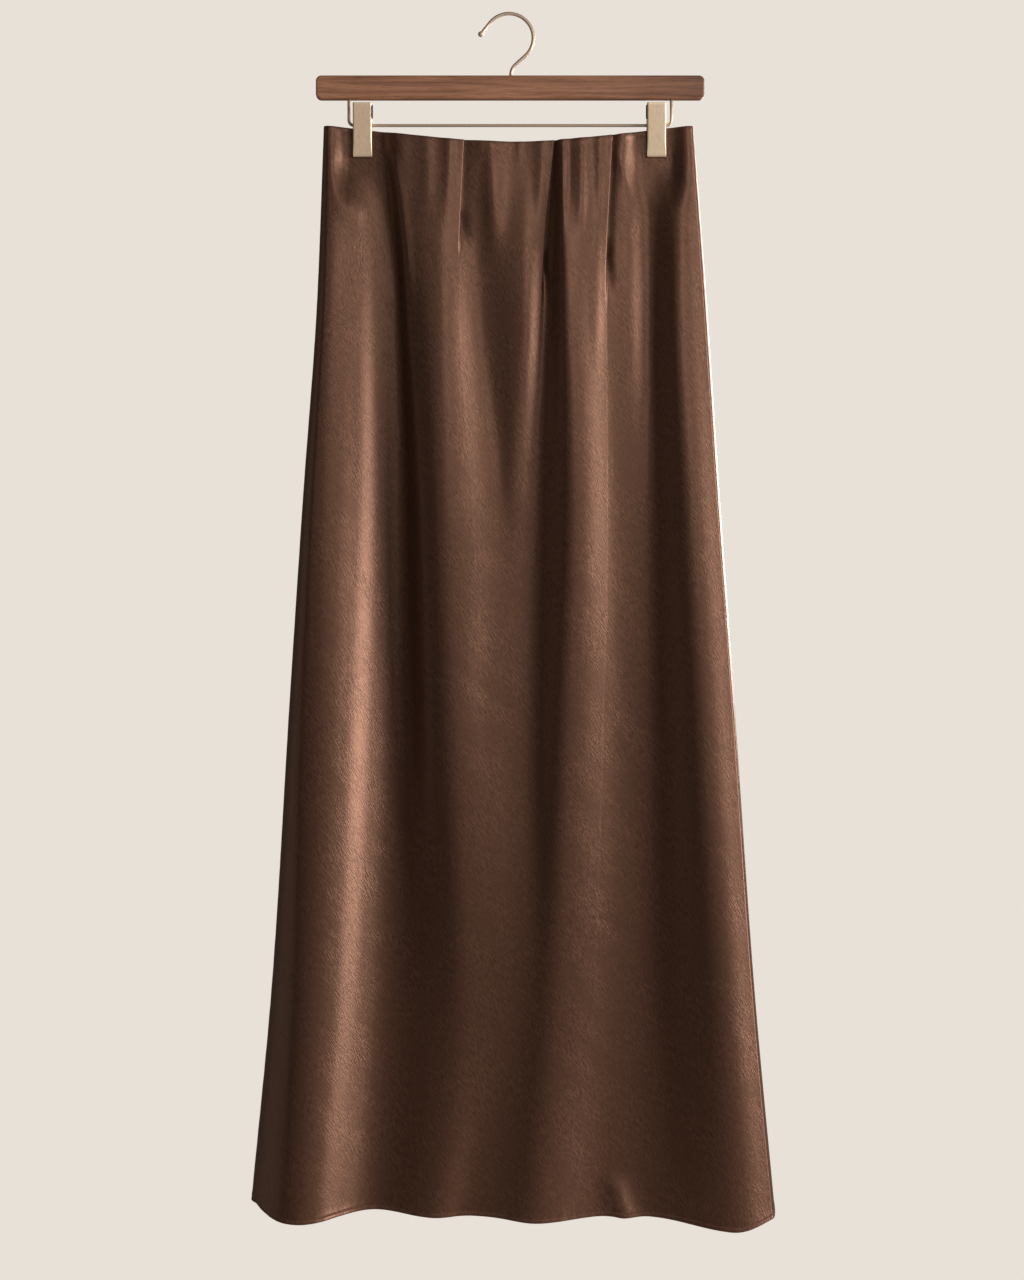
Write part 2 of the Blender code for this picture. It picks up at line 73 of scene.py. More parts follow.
# Each line runs down the cloth: where it lies across the skirt at each station, and how far it
# stands forward there.
FRONT_FOLDS = (
    ((-168, -174, -187, -199, -215, -234), (4, 16, 23, 28, 34, 43)),
    ((-158, -165, -171, -173, -181, -189), (6, 19, 26.5, 34.5, 47.5, 62)),
    ((-120, -102, -96, -96, -107, -121), (1.5, 1, 1.5, 6, 20, 33.5)),
    ((-109, -93, -82, -73, -60, -73), (7.5, 14, 23, 29, 34, 47)),
    ((-66, -62, -60, -54, -44, -63), (11, 23.5, 33, 36.5, 38, 48)),
    ((-30, -24, -4, -16, -8, -42), (10.5, 11.5, 18.5, 27.5, 36, 42.5)),
    ((12, 14, 2, 2, 5, -28), (6.5, 18, 18.5, 23.5, 36, 43)),
    ((42.5, 34, 26, 22, 18, -10), (6.5, 11, 13.5, 20.5, 37.5, 46)),
    ((47, 52, 57, 50, 40, 22), (10, 27, 31, 35, 43.5, 55)),
    ((97, 97, 99, 104, 100, 88), (6.0, 13, 17.5, 20.5, 31.5, 40)),
    ((104, 108, 113, 118, 115, 116), (6.0, 11.5, 14.5, 18, 29.5, 39)),
    ((126, 128, 128, 130, 127, 131), (1.2, 5, 12.3, 16.7, 28.5, 41)),
    ((158, 155, 164, 174, 192, 207), (6, 19, 31, 41, 58, 66)),
    ((167, 179, 191, 204, 221.5, 240), (2.5, 11.5, 22.2, 31.5, 48, 54.5)),
)
# The tucks: where the pressed edge lies at each station, how deep it folds under, how far down it
# stays pressed, where it has opened out, and over what width the cloth beside it comes forward.
TUCKS = (
    ((-42, -48, -36, -28, -24, -50), 8, 62, 112, 7),
    ((40.5, 29, 32, 31, 24, -4), 8, 95, 160, 3),
    ((93.5, 87, 88, 84, 76, 60), 8, 90, 165, 4),
)
# Small creases: points (across, down) along each, its half width, and how far it
# rises, or dips where that is negative.
FRONT_CREASES = (
    (((-119, 2), (-111, 30), (-106, 55), (-102, 97), (-98, 190)), 3.5, -1.9),
    (((-112, 2), (-104, 30), (-99, 55), (-94, 97), (-88, 190)), 4.5, 1.6),
    (((-98, -10), (-95, 50), (-94, 80)), 5.0, 0.8),
    (((-160, 10), (-159, 40), (-150, 90)), 5.0, 1.5),
    (((-147, 26), (-144, 50), (-138, 110)), 9.0, 1.7),
    (((-76, -20), (-75, 40), (-78, 90)), 5.5, 1.0),
    (((-54, -20), (-55, 40), (-58, 90)), 5.0, 1.8),
    (((-26, -20), (-27, 30)), 2.5, 0.5),
    (((-17, -20), (-15, 40), (-14, 80), (-18, 130)), 9.0, 3.4),
    (((10, -20), (9, 30)), 3.0, 0.5),
    (((30, -20), (29, 40), (27, 100)), 5.0, 1.3),
    (((49, -10), (49, 40), (49, 75), (47, 110)), 2.0, 1.4),
    (((55.5, -20), (55.5, 40), (54, 75)), 3.0, -1.0),
    (((66, -20), (66, 50), (64, 110)), 5.0, 2.0),
    (((83, -20), (83, 40), (82, 100)), 4.0, 1.3),
    (((92, 0), (107, 40), (124, 78)), 5.0, 0.9),
    (((116, 10), (124, 40), (136, 84)), 6.0, 1.0),
    (((145, 0), (152, 22), (163, 60)), 4.0, 1.2),
    (((138, -10), (146, 40), (150, 90)), 5.0, -0.9),
    (((-135, -100), (-134, 300), (-143, 560), (-153, 780), (-167, 960), (-200, 1500)), 7.0, 0.4),
    (((-123, -100), (-122, 300), (-129, 560), (-139, 780), (-153, 960), (-186, 1500)), 7.0, -0.35),
    (((80, 60), (80, 150), (79, 240)), 6.0, 0.8),
    (((94, 945), (97, 958), (102, 985), (106, 1020)), 2.6, 0.9),
    (((94, 940), (98, 960), (106, 985), (114, 1020)), 12.0, 5.0),
)
FOLD_SOFT = (1, 2, 4, 5, 6, 7)  # each fold's line is softened over this far to both sides
SIDE_TURN = ((5, 8, 11, 15, 25, 34), (3, 4, 4, 4, 4.5, 5))  # how wide each side rounds
SIDE_EDGE = 0.4 * MM  # the last column before the right side turns, so that it turns crisply
TUCK_BENDS = (0.95 * MM, 0.35 * MM)  # of the pressed edge, and of the bend hidden under it
TUCK_OPEN, TUCK_BETWEEN = 1.2 * MM, 0.48 * MM  # once open: along each bend, and between the two
TUCK_LEFT = 0.002  # share of a half turn that each bend keeps once open
CLIP_X = {"left": -133.9 * MM, "right": 134.7 * MM}
CLIP_BOTTOM = -130.2 * MM
PINCH = (12.5 * MM, 20 * MM, 50 * MM)  # held flat this far each side of a clip, eased beside, below
PRESSED = 0.05 * MM  # what is left behind each panel where a clip presses the two together
WAIST_HALF, WAIST_Z, WAIST_DIP = 169 * MM, -101.9 * MM, 15 * MM
HEM_Z = (-1082.5 * MM, -1086.5 * MM)  # below the left and right ends of the waist
HEM_DROP, HEM_SHALLOW = (0.38, 0.19), 28 * MM  # front and back: lower where a fold is deeper
HEM_CORNER = (200 * MM, 44 * MM)  # from here to the right, over this far, that drop fades out
# Sewing that shows, in mm: how far it lifts the cloth, how far from the edge, and over what width.
TOP_TURNED, HEM_TURNED, HEM_SEWN = (0.25, 2.5, 2.2), (0.30, 4.8, 2.4), (-0.34, 2.7, 0.8)
HEM_WAVY, SEAM_WAVY = (0.22, 0, 9), (0.16, 0, 9)
SEAM_SUNK, SEAM_SEWN = (-0.05, 0, 9), (-0.30, 0, 1.3)
SEAM_FIXED = (1, 0, 0.25)  # next to the edge nothing lifts, so that the panels meet
HEM_WAVES, SEAM_WAVES = (9.3, 14.7, 23.0), (13.0, 21.0, 34.0)  # lengths of the waves along them


def ease(t):
    """0 up to t = 0, 1 from t = 1, and 3 t^2 - 2 t^3 between."""
    t = np.clip(t, 0, 1)
    return t * t * (3 - 2 * t)


def curve_through(at, known_x, known_y):
    """Smooth curves through known points, one a row, that never swing past them.

    Between two points the curve is the cubic with the points' heights and slopes. A slope is the
    weighted harmonic mean of the two rises beside it, or nothing at a crest or a hollow."""
    width = np.diff(known_x)
    rise = np.diff(known_y) / width
    agree = rise[:, :-1] * rise[:, 1:] > 0
    first, second = 2 * width[:, 1:] + width[:, :-1], width[:, 1:] + 2 * width[:, :-1]
    before, after = np.where(agree, rise[:, :-1], 1), np.where(agree, rise[:, 1:], 1)
    slope = np.where(agree, (first + second) / (first / before + second / after), 0)
    slope = np.hstack([rise[:, :1], slope, rise[:, -1:]])
    i = (at[:, :, None] >= known_x[:, None, 1:-1]).sum(axis=2)
    x0, w, y0, y1, s0, s1 = (
        np.take_along_axis(values, index, axis=1)
        for values, index in (
            (known_x, i), (width, i), (known_y, i), (known_y, i + 1), (slope, i), (slope, i + 1),
        )
    )
    t = (at - x0) / w
    rest = 1 - t
    return (y0 * (1 + 2 * t) + s0 * w * t) * rest**2 + (y1 * (3 - 2 * t) - s1 * w * rest) * t**2


def down(values):
    """Lists of one value a station, turned into one column each, with a value in metres a row."""
    values = np.atleast_2d(np.asarray(values, float))
    rows = np.broadcast_to(DOWN, (len(values), len(DOWN)))
    stations = np.broadcast_to(np.asarray(STATIONS, float), values.shape)
    return curve_through(rows, stations, values).T * MM


def creased(x, creases):
    """The small creases: rise * exp(-(distance across / half width)^2), eased in over the first
    quarter of each and out over the last half."""
    total = np.zeros_like(x)
    for points, half, rise in creases:
        across, along = np.array(points, float).T
        line = curve_through(DOWN[None], along[None], across[None])[0]
        run = along[-1] - along[0]
        shown = ease((DOWN - along[0]) / (0.25 * run)) * ease((along[-1] - DOWN) / (0.5 * run))
        total += (shown * rise * MM)[:, None] * np.exp(-(((x / MM - line[:, None]) / half) ** 2))
    return total


def tuck_shape(under, pressed):
    """A knife tuck seen from above, from its edge on: across and forward for each point.

    The cloth turns by an angle of pressed * pi round the edge, runs under by pressed^4 of the
    tuck's depth, and turns back by the same angle. As pressed falls from 1 to 0 both bends widen,
    and the fold becomes a step, then a slope."""
    turn = np.maximum(pressed, TUCK_LEFT) * math.pi
    first, second = (
        (pressed * bend * math.pi + (1 - pressed) * TUCK_OPEN) / turn for bend in TUCK_BENDS
    )
    run = under * pressed**4 + TUCK_BETWEEN * (1 - pressed)
    angle = turn * np.linspace(0, 1, 8)
    first_x, first_out = first * np.sin(angle), -first * (1 - np.cos(angle))
    start_x = first_x[:, -1:] + run * np.cos(turn)
    start_out = first_out[:, -1:] - run * np.sin(turn)
    second_x = start_x + second * (np.sin(turn) - np.sin(turn - angle))
    second_out = start_out - second * (np.cos(turn - angle) - np.cos(turn))
    return np.hstack([first_x[:, 1:], second_x]), np.hstack([first_out[:, 1:], second_out])


def panel_section(folds, creases, tucks, spans):
    """Seen from above, each row of a panel: across and forward from the middle, as two arrays.

    Forward = (folds + creases) rounded off as a quarter circle at both sides, less how far the last
    tuck set the cloth back, which fades as exp(-(distance past the tuck / rise)^2). spans are the
    numbers of columns up to each tuck, and from the last one to the right side."""
    fold_x, fold_out = (down([line[i] for line in folds]) for i in (0, 1))
    fold_x[:, 0] -= FACE
    fold_x[:, -1] += FACE
    left, right = fold_x[:, :1], fold_x[:, -1:]
    turn_left, turn_right, soft = (down(width) for width in (*SIDE_TURN, FOLD_SOFT))
    lowered, past, rise = np.zeros_like(left), left, MM

    def surface(x):
        folded = sum(curve_through(x + way * soft, fold_x, fold_out) for way in (-1, 0, 1)) / 3
        return folded + creased(x, creases) + FACE

    def level(x):
        near = np.clip(np.minimum((x - left) / turn_left, (right - x) / turn_right), 0, 1)
        recovered = np.exp(-((np.maximum(x - past, 0) / rise) ** 2))
        return surface(x) * np.sqrt(1 - (1 - near) ** 2) - lowered * recovered

    rounding = 1 - np.cos(np.linspace(0, math.pi / 2, 16)[:-1])
    xs = [left + turn_left * rounding]
    outs = [level(xs[0])]
    start = left + turn_left
    for (edge, under, pressed, opened, beside), count in zip(tucks, spans):
        stop = down(edge)
        xs.append(start + (stop - start) * np.linspace(0, 1, count))
        outs.append(level(xs[-1]))
        still = 1 - ease((DOWN - pressed) / (opened - pressed))[:, None]
        shape_x, shape_out = tuck_shape(under * MM, still)
        xs.append(stop + shape_x)
        outs.append(level(xs[-1]) + shape_out)
        lowered = surface(xs[-1][:, -1:]) - outs[-1][:, -1:]
        past = np.maximum(xs[-1][:, -1:], stop) + 1 * MM
        start, rise = past, beside * MM
    stop = right - turn_right
    last = start + (stop - start) * np.linspace(0, 1, spans[-1])
    xs.append(np.insert(last, -1, stop[:, 0] - SIDE_EDGE, axis=1))
    outs.append(level(xs[-1]))
    xs.append((right - turn_right * rounding)[:, ::-1])
    outs.append(level(xs[-1]))
    return np.hstack(xs), np.hstack(outs)


def square_to(grid, facing):
    """The unit normal of a grid of points: the cross product of its two directions."""
    normal = facing * np.cross(np.gradient(grid, axis=1), np.gradient(grid, axis=0))
    return normal / np.linalg.norm(normal, axis=2, keepdims=True)


def ripple(along, lengths, phase):
    """An uneven small wave from -1 to 1: the mean of sines of these lengths."""
    waves = (
        np.sin(2 * math.pi * along / length + phase * (k + 1)) for k, length in enumerate(lengths)
    )
    return sum(waves) / len(lengths)


def swell(distance, rise, place, width):
    """rise * exp(-((distance - place) / width)^2)."""
    return rise * np.exp(-(((distance - place) / width) ** 2))


def hang(folds, creases, tucks, spans, facing):
    """A panel's outer face as a grid of points: its section at each row, held flat under the clips.

    The top edge dips in the middle by WAIST_DIP * cos(share * pi / 2)^1.3, where share goes from 0
    to 1 at the sides. The hem is a straight line, lower by HEM_DROP of what a fold stands forward
    past HEM_SHALLOW, and that drop fades as 1 - t^2 over HEM_CORNER."""
    x, out = panel_section(folds, creases, tucks, spans)
    share = np.clip(np.abs(x[0]) / WAIST_HALF, 0, 1)
    top = WAIST_Z - WAIST_DIP * np.cos(share * math.pi / 2) ** 1.3
    slant = (HEM_Z[1] - HEM_Z[0]) / (2 * WAIST_HALF)
    corner = 1 - np.clip((x[-1] - HEM_CORNER[0]) / HEM_CORNER[1], 0, 1) ** 2
    drop = HEM_DROP[facing > 0] * np.maximum(out[-1] - HEM_SHALLOW, 0) * corner
    bottom = HEM_Z[0] + slant * (x[-1] + WAIST_HALF) - drop
    z = top + (bottom - top) * (DOWN / LENGTH)[:, None]
    held = np.zeros_like(x)
    for clip_x in CLIP_X.values():
        beside = 1 - ease((np.abs(x - clip_x) - PINCH[0]) / PINCH[1])
        below = 1 - ease((CLIP_BOTTOM - 2 * MM - z) / PINCH[2])
        held = np.maximum(held, beside * below)
    flat = np.minimum(out, FACE)
    out = flat + np.maximum(out - flat, 0) * (1 - held)
    return np.stack([x, facing * (SEAM_GAP + out), z], axis=2), held


def finish_edges(grid, facing):
    """The sewing that shows in the cloth: a turned top edge, a narrow hem drawn in along its row of
    stitches, and side seams that pull the edges in and pucker them a little. Each is a swell of
    the distance from its edge, along the cloth's normal. The second value returned is how far each
    point lies across the flat cloth, from its middle."""
    normal = square_to(grid, facing)
    step = np.linalg.norm(np.diff(grid, axis=1), axis=2)
    across = np.hstack([np.zeros((len(grid), 1)), np.cumsum(step, axis=1)])
    from_side = np.minimum(across, across[:, -1:] - across) / MM
    from_top = DOWN[:, None]
    from_hem = LENGTH - from_top
    rise, reach, width = HEM_TURNED
    lift = swell(from_top, *TOP_TURNED) + swell(from_hem, *HEM_SEWN)
    lift = lift + rise * (1 - ease((from_hem - reach) / width))
    lift = lift + ripple(across / MM, HEM_WAVES, 1.3) * swell(from_hem, *HEM_WAVY)
    pucker = ripple(from_top + 3 * from_side, SEAM_WAVES, 0.7 + facing)
    lift = lift + pucker * swell(from_side, *SEAM_WAVY)
    lift = lift + swell(from_side, *SEAM_SUNK) + swell(from_side, *SEAM_SEWN)
    lift = lift * (1 - swell(from_side, *SEAM_FIXED))
    grid = grid + normal * lift[:, :, None] * MM
    return grid, across - across[:, -1:] / 2


def smooth_mesh(name, points, faces):
    """A mesh of these points and faces, with smooth shading."""
    mesh = bpy.data.meshes.new(name)
    mesh.from_pydata(points.reshape(-1, 3), [], faces)
    mesh.shade_smooth()
    return mesh


def add_piece(name, mesh, finish):
    """A piece of this mesh and finish, in the scene."""
    mesh.materials.append(finish)
    piece = bpy.data.objects.new(name, mesh)
    bpy.context.scene.collection.objects.link(piece)
    return piece


def shell_mesh(name, outer, inner, facing):
    """A closed sheet between two grids of points, with its first and last rows rounded over.

    The rows go round as one ring: down the outer face, half a circle at the bottom, up the inner
    face and half a circle at the top. Strips between the faces close both ends of the rows."""
    rows, columns = outer.shape[:2]
    rim = np.linspace(0, math.pi, 5)[1:-1, None, None]

    def rounded(near, far, ahead):
        ahead = ahead / np.linalg.norm(ahead, axis=1, keepdims=True)
        radius = np.linalg.norm(near - far, axis=1, keepdims=True) / 2
        return (near + far) / 2 + (near - far) / 2 * np.cos(rim) + ahead * radius * np.sin(rim)

    bottom = rounded(outer[-1], inner[-1], outer[-1] - outer[-2])
    top = rounded(inner[0], outer[0], outer[0] - outer[1])
    ring = np.concatenate([outer, bottom, inner[::-1], top])
    count = len(ring)
    at = np.arange(count * columns).reshape(count, columns)
    following = np.roll(at, -1, axis=0)
    quads = np.stack([at[:, :-1], following[:, :-1], following[:, 1:], at[:, 1:]], axis=2)
    faces = quads.reshape(-1, 4).tolist()
    back = rows + len(bottom) + rows - 1 - np.arange(rows)  # where each row lies on the inner face
    for column, order in ((0, -1), (columns - 1, 1)):
        out, into = at[:rows, column], at[back, column]
        strip = np.stack([out[:-1], out[1:], into[1:], into[:-1]], axis=1)
        faces += strip[:, ::order].tolist()
        ends = at[rows - 1 : back[-1] + 1, column], np.append(at[back[0] :, column], at[0, column])
        faces += [end[::order].tolist() for end in ends]
    if facing > 0:
        faces = [face[::-1] for face in faces]
    return smooth_mesh(name, ring, faces), count


def cloth_panel(name, grid, across, held, facing, finish):
    """A panel's sheet from its outer face, thicker where a clip presses the layers together. Its UV
    map is its own flat cloth in metres, and reverse is 1 on the side that faces the wearer."""
    thick = CLOTH + (FACE - CLOTH - PRESSED) * held
    inner = grid - square_to(grid, facing) * thick[:, :, None]
    mesh, count = shell_mesh(name, grid, inner, facing)
    height = np.broadcast_to(-DOWN[:, None] * MM, across.shape)
    flat = np.stack([across, height], axis=2)
    rim = (count - 2 * len(grid)) // 2
    flat = np.concatenate([flat, flat[-1:].repeat(rim, 0), flat[::-1], flat[:1].repeat(rim, 0)])
    corner = np.empty(len(mesh.loops), int)
    mesh.loops.foreach_get("vertex_index", corner)
    mesh.uv_layers.new(name="cloth").data.foreach_set("uv", flat.reshape(-1, 2)[corner].ravel())
    behind = np.zeros((count, across.shape[1]))
    behind[len(grid) + rim : 2 * len(grid) + rim] = 1
    mesh.attributes.new("reverse", "FLOAT", "POINT").data.foreach_set("value", behind.ravel())
    return add_piece(name, mesh, finish)


def link(tree, *pairs):
    """Joins sockets, given two by two."""
    for source, target in zip(pairs[::2], pairs[1::2]):
        tree.links.new(source, target)


def new_material(name):
    """An empty material with its shader, and a function that adds a node with its settings."""
    material = bpy.data.materials.new(name)
    material.use_nodes = True
    tree = material.node_tree

    def node(kind, **settings):
        made = tree.nodes.new("ShaderNode" + kind)
        for key, value in settings.items():
            if hasattr(made, key):
                setattr(made, key, value)
            else:
                made.inputs[key.replace("_", " ")].default_value = value
        return made

    return material, tree, tree.nodes["Principled BSDF"], node


def ramp(node, *stops):
    """A colour ramp with these stops, each a place and a colour."""
    made = node("ValToRGB")
    elements = made.color_ramp.elements
    for element, (place, colour) in zip(elements, (stops[0], stops[-1])):
        element.position, element.color = place, (*colour, 1)
    for place, colour in stops[1:-1]:
        elements.new(place).color = (*colour, 1)
    return made


def satin_finish():
    """Satin: a warm brown with a broad soft gloss of its own colour. Fine crinkles slant down to
    the right across it in patches, over a finer grain, and the reverse is duller."""
    material, tree, shader, node = new_material("brown_satin")
    shader.inputs["Metallic"].default_value = 0.45
    shader.inputs["Specular IOR Level"].default_value = 0.5
    shader.inputs["Specular Tint"].default_value = (1.0, 0.72, 0.56, 1)
    shader.inputs["Sheen Weight"].default_value = 0.04
    shader.inputs["Sheen Roughness"].default_value = 0.5
    shader.inputs["Sheen Tint"].default_value = (0.75, 0.48, 0.36, 1)
    cloth = node("UVMap", uv_map="cloth")
    noises = {}
    for key, slant, size, detail, distortion in (
        ("strokes", 30, (1.2, 6.0), 2.0, 0.8), ("threads", 24, (0.9, 3.2), 2.0, 0.0),
        ("grain", 0, (1.0, 1.0), 1.0, 0.0), ("patches", 40, (22.0, 60.0), 2.0, 0.8),
    ):
        place = node("Mapping", vector_type="TEXTURE", Rotation=(0, 0, math.radians(slant)))
        place.inputs["Scale"].default_value = (size[0] * MM, size[1] * MM, 1)
        noises[key] = node(
            "TexNoise", Scale=1.0, Detail=detail, Roughness=0.55, Distortion=distortion
        )
        link(
            tree, cloth.outputs["UV"], place.inputs["Vector"],
            place.outputs["Vector"], noises[key].inputs["Vector"],
        )
    crinkle = node("Math", operation="MULTIPLY")
    marked = node("MapRange", From_Min=0.36, From_Max=0.64, To_Min=0.35, To_Max=1.0)
    line = node("MapRange", From_Min=0.36, From_Max=0.66, To_Min=-1.0, To_Max=1.0)
    link(
        tree, noises["patches"].outputs["Fac"], marked.inputs["Value"],
        noises["strokes"].outputs["Fac"], line.inputs["Value"],
        marked.outputs["Result"], crinkle.inputs[0], line.outputs["Result"], crinkle.inputs[1],
    )
    weave = node("Math", operation="MULTIPLY_ADD")
    weave.inputs[1].default_value = 1.3
    relief = node("Math", operation="MULTIPLY_ADD")
    relief.inputs[1].default_value = 0.9
    link(
        tree, noises["threads"].outputs["Fac"], weave.inputs[0],
        crinkle.outputs["Value"], weave.inputs[2],
        noises["grain"].outputs["Fac"], relief.inputs[0], weave.outputs["Value"], relief.inputs[2],
    )
    colour = ramp(
        node, (0.1, (0.084, 0.038, 0.0235)), (0.5, (0.112, 0.052, 0.033)),
        (0.9, (0.145, 0.070, 0.046)),
    )
    spread = node("MapRange", From_Min=-0.1, From_Max=2.2, To_Min=0.0, To_Max=1.0)
    reverse = node("Attribute", attribute_name="reverse")
    dull = node("Mix", data_type="RGBA")
    dull.inputs["B"].default_value = (0.070, 0.036, 0.025, 1)
    link(
        tree, relief.outputs["Value"], spread.inputs["Value"],
        spread.outputs["Result"], colour.inputs["Fac"],
        reverse.outputs["Fac"], dull.inputs["Factor"], colour.outputs["Color"], dull.inputs["A"],
        dull.outputs["Result"], shader.inputs["Base Color"],
    )
    rough = node("MapRange", From_Min=0.3, From_Max=0.7, To_Min=0.34, To_Max=0.38)
    duller = node("Math", operation="MULTIPLY_ADD")
    duller.inputs[1].default_value = 0.18
    link(
        tree, noises["patches"].outputs["Fac"], rough.inputs["Value"],
        reverse.outputs["Fac"], duller.inputs[0], rough.outputs["Result"], duller.inputs[2],
        duller.outputs["Value"], shader.inputs["Roughness"],
    )
    fine = node("Bump", Strength=0.42, Distance=0.08 * MM)
    link(
        tree, relief.outputs["Value"], fine.inputs["Height"],
        fine.outputs["Normal"], shader.inputs["Normal"],
    )
    return material


satin = satin_finish()
front_grid, front_held = hang(FRONT_FOLDS, FRONT_CREASES, TUCKS, (58, 46, 34, 40), -1)
front_grid, front_across = finish_edges(front_grid, -1)
skirt_front = cloth_panel("front_panel", front_grid, front_across, front_held, -1, satin)
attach(skirt_front, "root")
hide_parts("skirt_front")

# ------------------------------------------------------------------ back panel
# The back is one panel of the same satin without tucks, sewn to the front down both sides. It hangs
# in three broad folds, with small creases where the clips take its weight.

BACK_FOLDS = (
    ((-168, -174, -187, -199, -215, -234), (4, 10, 16, 22, 30, 36)),
    ((-156, -150, -154, -159, -169, -181), (4, 12, 20, 28, 40, 52)),
    ((-119, -104, -102, -105, -110, -121), (1, 6, 9, 12, 18, 24)),
    ((-56, -51, -45, -40, -34, -38), (8, 16, 23, 31, 42, 52)),
    ((-2, 6, 12, 16, 20, 17), (7, 11, 13, 17, 25, 31)),
    ((54, 64, 70, 77, 84, 82), (8, 17, 25, 33, 44, 55)),
    ((121, 124, 127, 131, 137, 141), (1, 6, 9, 12, 18, 25)),
    ((154, 164, 172, 180, 192, 206), (4, 12, 20, 30, 44, 56)),
    ((167, 179, 191, 204, 221.5, 240), (4, 10, 16, 24, 34, 40)),
)
BACK_CREASES = (
    (((-122, 14), (-110, 50), (-100, 130)), 4.5, -1.2),
    (((-112, 20), (-96, 60), (-84, 150)), 5.5, 1.1),
    (((-146, 10), (-158, 45), (-164, 80)), 4.5, 0.9),
    (((-70, -20), (-66, 40), (-60, 85)), 5.0, 0.7),
    (((-28, -20), (-24, 50), (-15, 130)), 7.0, -0.9),
    (((6, -20), (8, 45), (4, 90)), 4.5, 0.8),
    (((24, -20), (28, 60)), 4.0, -0.6),
    (((80, -20), (84, 35), (90, 70)), 4.0, 0.7),
    (((122, 16), (108, 50), (98, 120)), 4.5, 1.2),
    (((128, 20), (120, 70), (118, 150)), 5.0, -1.1),
    (((149, -10), (160, 30), (167, 70)), 4.5, 0.9),
    (((-140, 880), (-128, 930), (-118, 990)), 9.0, -1.6),
    (((70, 900), (60, 950), (56, 1010)), 8.0, 1.4),
)

back_grid, back_held = hang(BACK_FOLDS, BACK_CREASES, (), (110,), 1)
back_grid, back_across = finish_edges(back_grid, 1)
skirt_back = cloth_panel("back_panel", back_grid, back_across, back_held, 1, satin)
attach(skirt_back, "root")
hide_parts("skirt_back")

# ------------------------------------------------------------------ hem stitches
# The hem is turned up narrow and sewn by machine all round, nearly three millimetres above its
# edge. Each stitch of the thread is a short bead that dips into the cloth at both ends.

STITCH_PITCH, STITCH_LENGTH, THREAD = 2.8 * MM, 2.15 * MM, 0.17 * MM
STITCH_ENDS = (3 * MM, 4 * MM)  # left without stitches at the left and right side
THREAD_UP, THREAD_DOWN = 0.10 * MM, 0.20 * MM  # above the cloth, and lower at a stitch's ends
STITCH_SLANT, STITCH_VARIES = 0.06 * MM, 2.4  # across the row, by a sine of this step


def stitch_line(name, line, normal, finish):
    """Stitches along a line on the cloth: rings whose radius follows sqrt(1 - (0.94 t)^2) along
    each stitch, with t from -1 to 1, at a height above the cloth of THREAD_UP less
    THREAD_DOWN * t^4."""
    step = np.linalg.norm(np.diff(line, axis=0), axis=1)
    along = np.append(0, np.cumsum(step))
    first = np.arange(STITCH_ENDS[0], along[-1] - STITCH_ENDS[1], STITCH_PITCH)
    t = np.array([-1.0, -0.72, 0.0, 0.72, 1.0])
    place = first[:, None] + STITCH_LENGTH * (t + 1) / 2

    def read(values):
        return np.stack([np.interp(place, along, column) for column in values.T], axis=2)

    up = read(normal)
    up /= np.linalg.norm(up, axis=2, keepdims=True)
    centre = read(line) + up * (THREAD_UP - THREAD_DOWN * t**4)[None, :, None]
    side = np.array((0.0, 0.0, 1.0)) - up * up[:, :, 2:]
    side /= np.linalg.norm(side, axis=2, keepdims=True)
    slant = STITCH_SLANT * np.sin(STITCH_VARIES * np.arange(len(first)))
    centre += side * slant[:, None, None] * t[:, None]
    radius = THREAD * np.sqrt(1 - (0.94 * t) ** 2)
    turn = np.linspace(0, 2 * math.pi, 6, endpoint=False)
    ring = np.cos(turn)[:, None] * side[:, :, None] + np.sin(turn)[:, None] * up[:, :, None]
    points = centre[:, :, None] + ring * radius[:, None, None]
    at = np.arange(points[..., 0].size).reshape(points.shape[:3])
    ahead = np.roll(at, -1, axis=2)
    quads = np.stack([at[:, :-1], ahead[:, :-1], ahead[:, 1:], at[:, 1:]], axis=3).reshape(-1, 4)
    caps = np.concatenate([at[:, 0, ::-1], at[:, -1]])
    return add_piece(name, smooth_mesh(name, points, quads.tolist() + caps.tolist()), finish)


def mottled_finish(name, darker, lighter, scale, detail, roughness):
    """A plain finish that noise of this scale shades unevenly between two colours."""
    material, tree, shader, node = new_material(name)
    shader.inputs["Roughness"].default_value = roughness
    place = node("TexCoord")
    noise = node("TexNoise", Scale=scale, Detail=detail)
    colour = ramp(node, (0.3, darker), (0.7, lighter))
    link(
        tree, place.outputs["Object"], noise.inputs["Vector"],
        noise.outputs["Fac"], colour.inputs["Fac"],
        colour.outputs["Color"], shader.inputs["Base Color"],
    )
    return material


# The thread is a reddish brown a little lighter than the satin.
thread_brown = mottled_finish("thread", (0.16, 0.066, 0.045), (0.27, 0.125, 0.088), 900.0, 2.0, 0.6)
front_stitches = stitch_line(
    "front_hem_stitches", front_grid[STITCH_ROW], square_to(front_grid, -1)[STITCH_ROW],
    thread_brown,
)
back_stitches = stitch_line(
    "back_hem_stitches", back_grid[STITCH_ROW], square_to(back_grid, 1)[STITCH_ROW], thread_brown
)
for stitches in (front_stitches, back_stitches):
    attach(stitches, "root")

# ------------------------------------------------------------------ wooden bar
# A walnut bar, planed and sanded with rounded ends, stained a reddish brown and waxed. Its lower
# edges are rounded more than the upper ones.

BAR_LENGTH, BAR_HEIGHT, BAR_DEPTH = 355 * MM, 21.6 * MM, 13 * MM
BAR_X, BAR_TOP, BAR_CORNER = 1 * MM, -55.8 * MM, 5 * MM
BAR_EDGE, BAR_BELOW = 1.5 * MM, 1.2 * MM  # rounding of the long edges, and how much more below
BAR_FLAT = 0.5 * MM  # a ring of points this far inside the rounding keeps the faces flat


